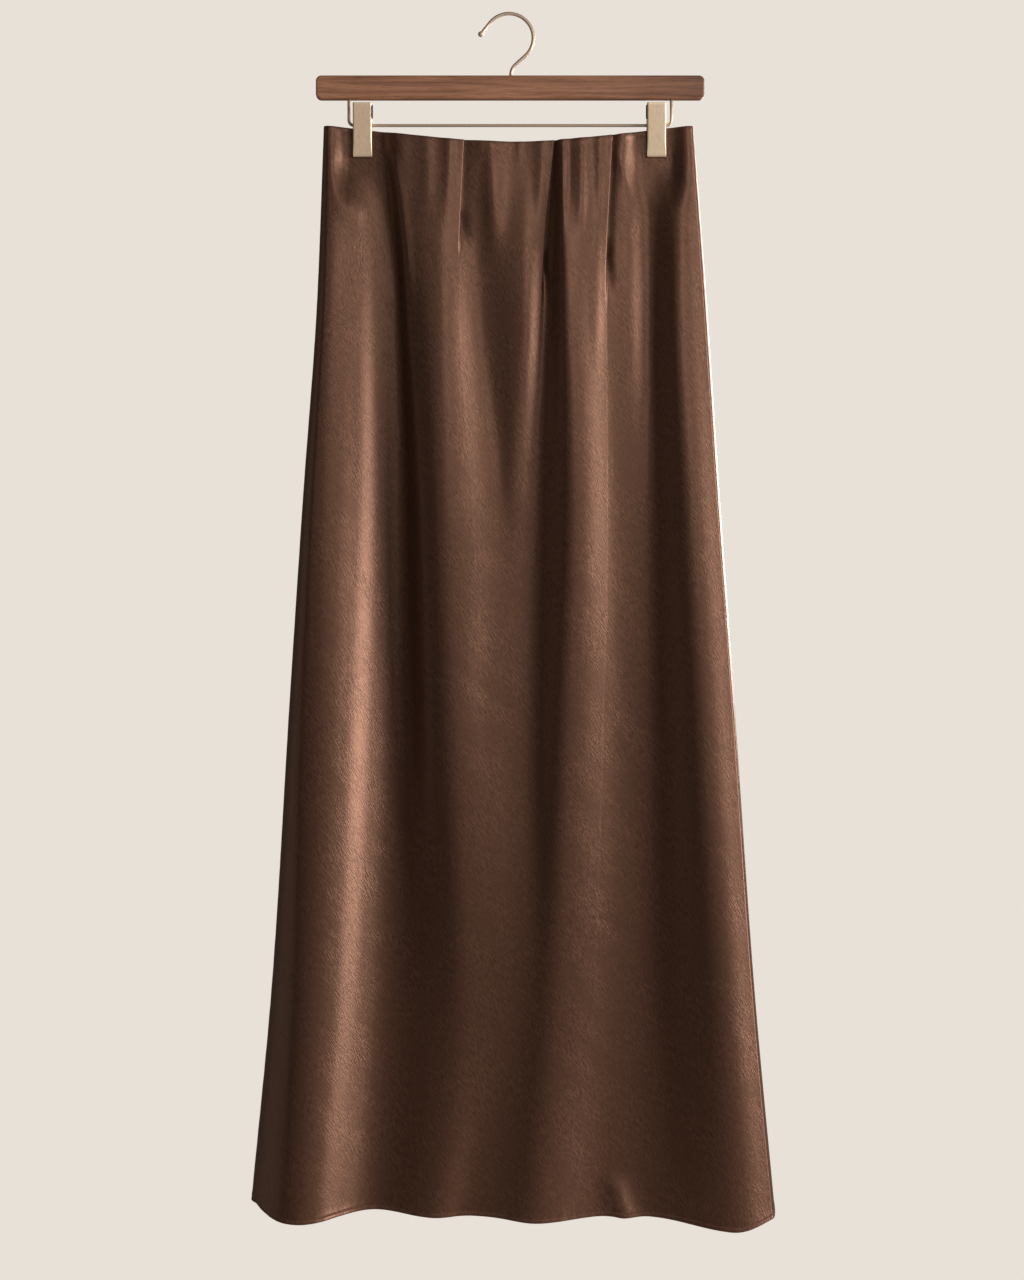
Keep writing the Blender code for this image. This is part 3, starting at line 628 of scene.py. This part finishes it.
def bar_mesh(name):
    """Seen from the front the outline is a rectangle with round corners, of straight runs and
    quarter circles. Each long edge is a quarter circle of radius r: inset r (1 - sin a) from the
    outline and r (1 - cos a) from the face, with r larger where the outline faces down."""
    corner = np.linspace(0, math.pi / 2, 10)
    angle = np.concatenate([corner + k * math.pi / 2 for k in range(4)])
    facing = np.stack([np.cos(angle), np.sin(angle)], axis=1)
    half = np.array((BAR_LENGTH / 2 - BAR_CORNER, BAR_HEIGHT / 2 - BAR_CORNER))
    signs = np.repeat(((1, 1), (-1, 1), (-1, -1), (1, -1)), len(corner), axis=0)
    outline = signs * half + facing * BAR_CORNER
    edge = BAR_EDGE + BAR_BELOW * np.clip(-facing[:, 1], 0, 1)
    a = np.linspace(0, math.pi / 2, 7)[:, None]
    inset = np.vstack([edge + BAR_FLAT, edge * (1 - np.sin(a))])
    depth = np.vstack([np.zeros_like(edge), edge * (1 - np.cos(a))]) - BAR_DEPTH / 2
    inset, depth = np.vstack([inset, inset[::-1]]), np.vstack([depth, -depth[::-1]])
    middle = np.array((BAR_X, BAR_TOP - BAR_HEIGHT / 2))
    flat = middle + outline - facing * inset[:, :, None]
    points = np.stack([flat[:, :, 0], depth, flat[:, :, 1]], axis=2)
    at = np.arange(points[..., 0].size).reshape(points.shape[:2])
    ahead = np.roll(at, -1, axis=1)
    quads = np.stack([at[:-1], at[1:], ahead[1:], ahead[:-1]], axis=2).reshape(-1, 4)
    return smooth_mesh(name, points, quads.tolist() + [at[0].tolist(), at[-1, ::-1].tolist()])


def walnut_finish():
    """Walnut: broad darker bands and fine pores drawn out along the bar, darker towards its right
    end, under a thin wax."""
    material, tree, shader, node = new_material("waxed_walnut")
    shader.inputs["Specular IOR Level"].default_value = 0.4
    place = node("TexCoord")
    bands = node("Mapping", Scale=(9, 120, 190))
    streak = node("TexNoise", Scale=1.0, Detail=5.0, Roughness=0.62, Distortion=0.6)
    pores = node("Mapping", Scale=(90, 900, 1500))
    pore = node("TexNoise", Scale=1.0, Detail=2.0, Roughness=0.5)
    colour = ramp(
        node, (0.30, (0.195, 0.080, 0.043)), (0.48, (0.330, 0.145, 0.080)),
        (0.62, (0.430, 0.200, 0.115)), (0.78, (0.290, 0.125, 0.070)),
    )
    pore_colour = ramp(node, (0.34, (0.55, 0.50, 0.46)), (0.46, (1.0, 1.0, 1.0)))
    darker = node("Mix", data_type="RGBA", blend_type="MULTIPLY", Factor=0.6)
    for stretched, texture in ((bands, streak), (pores, pore)):
        link(
            tree, place.outputs["Object"], stretched.inputs["Vector"],
            stretched.outputs["Vector"], texture.inputs["Vector"],
        )
    along = node("SeparateXYZ")
    heart = node("MapRange", From_Min=0.03, From_Max=0.18, To_Min=1.0, To_Max=0.62)
    end_dark = node("Mix", data_type="RGBA", blend_type="MULTIPLY", Factor=1.0)
    link(
        tree, streak.outputs["Fac"], colour.inputs["Fac"],
        pore.outputs["Fac"], pore_colour.inputs["Fac"],
        colour.outputs["Color"], darker.inputs["A"],
        pore_colour.outputs["Color"], darker.inputs["B"],
        place.outputs["Object"], along.inputs["Vector"], along.outputs["X"], heart.inputs["Value"],
        darker.outputs["Result"], end_dark.inputs["A"],
        heart.outputs["Result"], end_dark.inputs["B"],
        end_dark.outputs["Result"], shader.inputs["Base Color"],
    )
    rough = node("MapRange", From_Min=0.3, From_Max=0.7, To_Min=0.42, To_Max=0.58)
    bump = node("Bump", Strength=0.4, Distance=0.15 * MM)
    link(
        tree, streak.outputs["Fac"], rough.inputs["Value"],
        rough.outputs["Result"], shader.inputs["Roughness"],
        pore.outputs["Fac"], bump.inputs["Height"], bump.outputs["Normal"], shader.inputs["Normal"],
    )
    return material


walnut = walnut_finish()
bar = add_piece("wooden_bar", bar_mesh("wooden_bar"), walnut)
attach(bar, "root")
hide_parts("hanger_bar")

# ------------------------------------------------------------------ hook and rail
# The hook and the rail are steel wire with a satin champagne plating. The hook is screwed into the
# bar from above and ends in a ball; the rail is bent up at both ends into holes below the bar.

HOOK_WIRE, HOOK_RADIUS, HOOK_BALL = 3.3 * MM, 22.2 * MM, 2.6 * MM
HOOK_LEAVES, HOOK_TIP, HOOK_TIP_LENGTH = math.radians(-48), math.radians(141), 13.6 * MM
NECK_X, NECK_BEND = 1.8 * MM, 13 * MM
HOOK_IN_BAR, RAIL_IN_BAR = 15 * MM, 9 * MM  # how far the wires go into the wood
RAIL_WIRE, RAIL_HALF, RAIL_Z, RAIL_BEND = 2.8 * MM, 147.5 * MM, -100.8 * MM, 5 * MM


def bend(centre, radius, start, end, count):
    """Points on an arc in the plane of the bar: centre + radius (cos a, sin a)."""
    a = np.linspace(start, end, count)
    return np.stack([centre[0] + radius * np.cos(a), 0 * a, centre[1] + radius * np.sin(a)], axis=1)


def wire_mesh(name, path, radius, across, sides=20):
    """Wire along a path: at each point a circle of the wire's radius there, square to the path,
    with both ends closed. across is a direction that the path never takes."""
    path = np.asarray(path)
    along = np.gradient(path, axis=0)
    along /= np.linalg.norm(along, axis=1, keepdims=True)
    side = np.cross(along, across)
    side /= np.linalg.norm(side, axis=1, keepdims=True)
    up = np.cross(along, side)
    turn = np.linspace(0, 2 * math.pi, sides, endpoint=False)[:, None]
    ring = np.cos(turn) * side[:, None] + np.sin(turn) * up[:, None]
    points = path[:, None] + ring * np.broadcast_to(radius, len(path))[:, None, None]
    at = np.arange(len(path) * sides).reshape(len(path), sides)
    ahead = np.roll(at, -1, axis=1)
    quads = np.stack([at[:-1], ahead[:-1], ahead[1:], at[1:]], axis=2).reshape(-1, 4)
    return smooth_mesh(name, points, quads.tolist() + [at[0, ::-1].tolist(), at[-1].tolist()])


def metal_finish(name, colour, brushed):
    """Plated metal: one warm colour, brushed along its length so that its gloss is uneven."""
    material, tree, shader, node = new_material(name)
    shader.inputs["Metallic"].default_value = 0.35
    place = node("TexCoord")
    stretch = node("Mapping", Scale=brushed)
    lines = node("TexNoise", Scale=1.0, Detail=3.0, Roughness=0.6)
    tint = ramp(node, (0.35, tuple(0.86 * c for c in colour)), (0.65, colour))
    rough = node("MapRange", From_Min=0.3, From_Max=0.7, To_Min=0.30, To_Max=0.44)
    bump = node("Bump", Strength=0.25, Distance=0.05 * MM)
    link(
        tree, place.outputs["Object"], stretch.inputs["Vector"],
        stretch.outputs["Vector"], lines.inputs["Vector"],
        lines.outputs["Fac"], tint.inputs["Fac"],
        tint.outputs["Color"], shader.inputs["Base Color"],
        lines.outputs["Fac"], rough.inputs["Value"],
        rough.outputs["Result"], shader.inputs["Roughness"],
        lines.outputs["Fac"], bump.inputs["Height"],
        bump.outputs["Normal"], shader.inputs["Normal"],
    )
    return material


wire_metal = metal_finish("plated_wire", (0.62, 0.47, 0.34), (700, 700, 700))

# The hook goes straight up out of the bar, bends at the neck, runs straight to the round crook,
# goes round it and ends in a straight tip with the ball.
crook_z = HOOK_WIRE / 2 - HOOK_RADIUS
join_x = HOOK_RADIUS * math.cos(HOOK_LEAVES)
join_z = crook_z + HOOK_RADIUS * math.sin(HOOK_LEAVES)
heading = HOOK_LEAVES + math.pi / 2
neck_z = join_z - (join_x - NECK_X) * math.tan(heading)
neck_z -= NECK_BEND * math.tan((math.pi / 2 - heading) / 2)
rise = np.linspace(BAR_TOP - HOOK_IN_BAR, neck_z, 4)
shank = np.stack([np.full_like(rise, NECK_X), np.zeros_like(rise), rise], axis=1)
neck = bend((NECK_X + NECK_BEND, neck_z), NECK_BEND, math.pi, math.pi / 2 + heading, 12)
crook = bend((0, crook_z), HOOK_RADIUS, HOOK_LEAVES, HOOK_TIP, 72)
tip_way = np.array((-math.sin(HOOK_TIP), 0, math.cos(HOOK_TIP)))
meets = math.pi - math.asin(HOOK_WIRE / 2 / HOOK_BALL)  # where the ball is as thin as the wire
ball_turn = np.linspace(meets, math.radians(4), 14)
ball = crook[-1] + tip_way * (HOOK_TIP_LENGTH + HOOK_BALL * np.cos(ball_turn))[:, None]
hook_path = np.vstack([shank[:-1], neck, crook, ball])
hook_radius = np.append(
    np.full(len(hook_path) - len(ball), HOOK_WIRE / 2), HOOK_BALL * np.sin(ball_turn)
)
hook = add_piece("hook", wire_mesh("hook", hook_path, hook_radius, (0, 1, 0)), wire_metal)

rail_top = BAR_TOP - BAR_HEIGHT + RAIL_IN_BAR
rail_bends = [
    bend(
        (BAR_X + side * (RAIL_HALF - RAIL_BEND), RAIL_Z + RAIL_BEND), RAIL_BEND,
        start * math.pi, (start + 0.5) * math.pi, 12,
    )
    for side, start in ((-1, 1.0), (1, 1.5))
]
rail_ends = [[(BAR_X + side * RAIL_HALF, 0, rail_top)] for side in (-1, 1)]
rail_path = np.vstack([rail_ends[0], *rail_bends, rail_ends[1]])
rail = add_piece("rail", wire_mesh("rail", rail_path, RAIL_WIRE / 2, (0, 1, 0)), wire_metal)
for wire, node_name in ((hook, "hanger_hook"), (rail, "hanger_rail")):
    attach(wire, "root")
    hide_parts(node_name)

# ------------------------------------------------------------------ clips
# Each clip has two pressed plates with rolled edges that lean apart at the top, and a bottom lip
# that bears on the cloth. Ears on each plate ride on the rail, and a coiled spring shuts the jaws.

CLIP_WIDTH, CLIP_TOP, SHEET = 17.4 * MM, -81.7 * MM, 0.8 * MM
PLATE_TOP_Y, PLATE_BOTTOM_Y, LIP_Y, LIP_BEND = 11.8 * MM, 6.0 * MM, 1.75 * MM, 1.6 * MM
PLATE_LEAN = math.atan2(PLATE_TOP_Y - PLATE_BOTTOM_Y, CLIP_TOP - CLIP_BOTTOM)
# The channel's edges: radius of the roll and depth behind it, at the lip and what is added above.
PLATE_ROLL, PLATE_FLANGE = (0.35 * MM, 1.05 * MM), (0.45 * MM, 1.0 * MM)
FLATTENS = (20, 9)  # from this row of the plate down, over this many rows
EAR, EAR_HOLE, EAR_BEVEL = 1.0 * MM, 1.7 * MM, 0.15 * MM
EAR_OUT = {"front": 7.7 * MM, "back": 6.4 * MM}  # from the clip's middle, the back pair inside
EAR_IN, EAR_UP, EAR_DOWN = 2.8 * MM, 4.3 * MM, 2.1 * MM  # from the rail's middle
SPRING_WIRE, SPRING_RADIUS, SPRING_TURNS, SPRING_LENGTH = 1.2 * MM, 2.4 * MM, 4.5, 7.6 * MM
LEG_OUT, LEG_UP, LEG_STARTS = 5.7 * MM, 7.8 * MM, 0.12  # the last as a share of the leg
STOP_TOP, STOP_BOTTOM, STOP_RADIUS = -83.2 * MM, -96.4 * MM, 1.2 * MM
STOP_BEHIND = 1.4 * MM  # its middle, behind the front plate's face


def jaw_mesh(name, x, facing):
    """A plate as a shell: a channel, with its edges rolled back by a quarter circle, carried down
    a leaning line that ends in a small bend towards the cloth. The channel flattens at the bend."""
    start = np.array((PLATE_BOTTOM_Y, CLIP_BOTTOM + LIP_BEND))
    slope = np.array((math.sin(PLATE_LEAN), math.cos(PLATE_LEAN)))
    run = (CLIP_TOP - start[1]) / slope[1]
    straight = start + slope * np.linspace(run, 0, 30)[:, None]
    a = np.linspace(PLATE_LEAN, math.pi / 2, 8)[1:, None]
    centre = start - LIP_BEND * np.array((slope[1], -slope[0]))
    turned = centre + LIP_BEND * np.hstack([np.cos(a), -np.sin(a)])
    inward = np.linspace(turned[-1, 0], LIP_Y, 5)[1:, None]
    path = np.vstack([straight, turned, np.hstack([inward, np.full_like(inward, turned[-1, 1])])])
    along = np.gradient(path, axis=0)
    along /= np.linalg.norm(along, axis=1, keepdims=True)
    outward = np.stack([-along[:, 1], along[:, 0]], axis=1)
    deep = 1 - ease((np.arange(len(path)) - FLATTENS[0]) / FLATTENS[1])[:, None]
    roll = PLATE_ROLL[0] + PLATE_ROLL[1] * deep
    turn = np.linspace(0, math.pi / 2, 8)
    side = CLIP_WIDTH / 2 - roll * (1 - np.sin(turn))
    back = -roll * (1 - np.cos(turn))
    side = np.hstack([side, np.full_like(roll, CLIP_WIDTH / 2)])
    back = np.hstack([back, back[:, -1:] - PLATE_FLANGE[0] - PLATE_FLANGE[1] * deep])
    across = np.hstack([-side[:, ::-1], side[:, :1] * np.linspace(-0.9, 0.9, 9), side])
    depth = np.hstack([back[:, ::-1], np.zeros((len(path), 9)), back])
    y = path[:, :1] + outward[:, :1] * depth
    z = path[:, 1:] + outward[:, 1:] * depth
    outer = np.stack([x + across, facing * y, z], axis=2)
    inner = outer - square_to(outer, facing) * SHEET
    mesh, _ = shell_mesh(name, outer, inner, facing)
    return mesh


def ear_points(x, facing):
    """An ear as a ring round the rail: at each angle its rim is the nearest of four straight sides,
    the plate, the far side, above and below."""
    turn = np.linspace(0, 2 * math.pi, 48, endpoint=False)
    plate = PLATE_BOTTOM_Y + (RAIL_Z - CLIP_BOTTOM) * math.tan(PLATE_LEAN) - SHEET / 2
    sides = (
        (-PLATE_LEAN, plate * math.cos(PLATE_LEAN)), (math.pi, EAR_IN),
        (math.pi / 2, EAR_UP), (-math.pi / 2, EAR_DOWN),
    )
    reach = [far / np.maximum(np.cos(turn - way), 0.05) for way, far in sides]
    rim = np.min(reach, axis=0)
    hole = np.full_like(rim, EAR_HOLE)
    radius = np.stack([hole, rim - EAR_BEVEL, rim, rim, rim - EAR_BEVEL, hole])
    half = EAR / 2
    shift = np.array((-half, -half, EAR_BEVEL - half, half - EAR_BEVEL, half, half))[:, None]
    return np.stack([
        np.broadcast_to(x + shift, radius.shape), facing * radius * np.cos(turn),
        RAIL_Z + radius * np.sin(turn),
    ], axis=2)


def ears_mesh(name, x, out, facing):
    """A plate's two ears, each a grid of points joined both ways round, with its edges sharp."""
    points = np.stack([ear_points(x - out, facing), ear_points(x + out, facing)])
    at = np.arange(points[..., 0].size).reshape(points.shape[:3])
    below, ahead = np.roll(at, -1, axis=1), np.roll(at, -1, axis=2)
    quads = np.stack([at, ahead, np.roll(ahead, -1, axis=1), below], axis=3).reshape(-1, 4)
    order = -facing  # the back ears are mirrored, so their faces are turned round
    mesh = smooth_mesh(name, points, quads[:, ::order].tolist())
    mesh.set_sharp_from_angle(angle=math.radians(40))
    return mesh


plate_metal = metal_finish("brushed_plate", (0.92, 0.70, 0.49), (1500, 1500, 40))
# Near-black: painted shade for the back jaw's edge, which lies in shadow beside each front plate.
painted_shade_dark = mottled_finish(
    "painted_shade_dark", (0.012, 0.010, 0.009), (0.024, 0.020, 0.018), 600.0, 2.0, 0.55
)

for side, clip_x in CLIP_X.items():
    for place, facing in (("front", -1), ("back", 1)):
        jaw_name, ears_name = f"{side}_{place}_jaw", f"{side}_{place}_ears"
        jaw = add_piece(jaw_name, jaw_mesh(jaw_name, clip_x, facing), plate_metal)
        ears = add_piece(
            ears_name, ears_mesh(ears_name, clip_x, EAR_OUT[place], facing), plate_metal
        )
        for piece in (jaw, ears):
            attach(piece, "root")
        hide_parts(f"clip_{side}_{place}")
    # The spring: a leg up the front plate, the coil round the rail, and a leg up the back plate.
    coil = np.linspace(0, 2 * math.pi * SPRING_TURNS, int(26 * SPRING_TURNS))
    run = np.linspace(-0.5, 0.5, len(coil)) * SPRING_LENGTH
    turns = np.stack(
        [clip_x + run, -SPRING_RADIUS * np.cos(coil), RAIL_Z - SPRING_RADIUS * np.sin(coil)], axis=1
    )
    leg = np.linspace(LEG_STARTS, 1, 4)[:, None]
    front_leg = turns[0] + np.array((0, -LEG_OUT, LEG_UP)) * leg[::-1]
    back_leg = turns[-1] + np.array((0, LEG_OUT, LEG_UP)) * leg
    spring_path = np.vstack([front_leg, turns, back_leg])
    spring_name = f"{side}_spring"
    spring = add_piece(
        spring_name, wire_mesh(spring_name, spring_path, SPRING_WIRE / 2, (1, 0, 0), 10), wire_metal
    )
    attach(spring, "root")
    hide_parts(f"clip_{side}_spring")
    # The stop: a near-black rod down the inner edge of the front plate, of radius * sqrt(1 - t^8).
    # Its dark colour is painted shade, standing in for the edge of the back jaw in shadow there.
    height = np.linspace(STOP_TOP, STOP_BOTTOM, 13)
    inner = np.full_like(height, clip_x - math.copysign(CLIP_WIDTH / 2, clip_x))
    plate = PLATE_BOTTOM_Y + (height - CLIP_BOTTOM) * math.tan(PLATE_LEAN)
    spine = np.stack([inner, STOP_BEHIND - plate, height], axis=1)
    thick = STOP_RADIUS * np.sqrt(1 - np.linspace(-0.97, 0.97, len(height)) ** 8)
    stop_name = f"{side}_painted_shade_rod"
    stop = add_piece(stop_name, wire_mesh(stop_name, spine, thick, (1, 0, 0), 12), painted_shade_dark)
    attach(stop, "root")

# ------------------------------------------------------------------ room, light and camera
# A pale studio: a round floor below the hem, out of the camera's view, and cream walls far off.
# A strong soft lamp far to the right lights the folds from the side and another lights the edges
# from behind. Three weak lamps fill the front, the waist and the left edge. Sizes are in metres.

FLOOR_RADIUS, FLOOR_Z = 0.95, -1.35
WALL_COLOUR = (0.81, 0.752, 0.686, 1)  # as the camera sees the walls
WALL_LIGHT, WALL_STRENGTH = (0.80, 0.74, 0.67, 1), 0.08  # what they give back to the room
LAMP_COLOUR = (1.0, 0.97, 0.93)
# Each lamp's place, the point that it faces, its size and its power in watts.
LAMPS = {
    "key": ((2.76, -1.11, -0.3), (0, 0, -0.65), 1.4, 110),
    "front_fill": ((-1.1, -3.0, 0.66), (0, 0, -0.5), 0.9, 3),
    "top_fill": ((0.6, -1.7, 0.35), (0, 0, -0.15), 0.8, 6.5),
    "left_rim": ((-2.5, 0.2, -0.8), (0, 0, -0.8), 2.6, 5),
    "back": ((1.3, 2.6, 0.1), (0, 0, -0.6), 1.4, 60),
}
CAMERA = (0.0027, -3.0, -0.5715)
SENSOR = 36  # in mm
FRAME_HEIGHT, PIXEL = 1280, 0.915 * MM  # of the frame in pixels, and of one pixel at the skirt

turn = np.linspace(0, 2 * math.pi, 96, endpoint=False)
floor_rim = np.stack([
    FLOOR_RADIUS * np.cos(turn), FLOOR_RADIUS * np.sin(turn), np.full_like(turn, FLOOR_Z),
], axis=1)
pale_floor = mottled_finish("pale_floor", (0.78, 0.73, 0.67), (0.82, 0.77, 0.71), 14.0, 3.0, 0.8)
floor = add_piece("floor", smooth_mesh("floor", floor_rim, [list(range(len(turn)))]), pale_floor)
floor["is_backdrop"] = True

world = bpy.data.worlds.new("studio")
world.use_nodes = True
bpy.context.scene.world = world
sky = world.node_tree
walls = sky.nodes["Background"]
walls.inputs["Color"].default_value = WALL_COLOUR
dim = sky.nodes.new("ShaderNodeBackground")
dim.inputs["Color"].default_value = WALL_LIGHT
dim.inputs["Strength"].default_value = WALL_STRENGTH
seen = sky.nodes.new("ShaderNodeLightPath")
either = sky.nodes.new("ShaderNodeMixShader")
link(
    sky, seen.outputs["Is Camera Ray"], either.inputs["Fac"],
    dim.outputs["Background"], either.inputs[1], walls.outputs["Background"], either.inputs[2],
    either.outputs["Shader"], sky.nodes["World Output"].inputs["Surface"],
)

# A lamp is a soft square, tilted up from facing the floor and turned round to face its point.
for name, (place, aim, size, power) in LAMPS.items():
    light = bpy.data.lights.new(name, "AREA")
    light.size, light.energy, light.color = size, power, LAMP_COLOUR
    lamp = bpy.data.objects.new(name, light)
    lamp.location = place
    way = np.subtract(aim, place)
    tilt = math.atan2(math.hypot(way[0], way[1]), -way[2])
    lamp.rotation_euler = (tilt, 0, math.atan2(way[1], way[0]) - math.pi / 2)
    bpy.context.scene.collection.objects.link(lamp)

camera_data = bpy.data.cameras.new("camera")
camera_data.sensor_width = SENSOR
camera_data.lens = SENSOR * -CAMERA[1] / (FRAME_HEIGHT * PIXEL)
camera = bpy.data.objects.new("camera", camera_data)
camera.location = CAMERA
camera.rotation_euler = (math.pi / 2, 0, 0)
bpy.context.scene.collection.objects.link(camera)
bpy.context.scene.camera = camera
bpy.context.scene.view_settings.view_transform = "Standard"

scene_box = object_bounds()
boxes = {"cad": cad_box, "visual": scene_box}
{name: [list(corner) for corner in box] for name, box in boxes.items()}
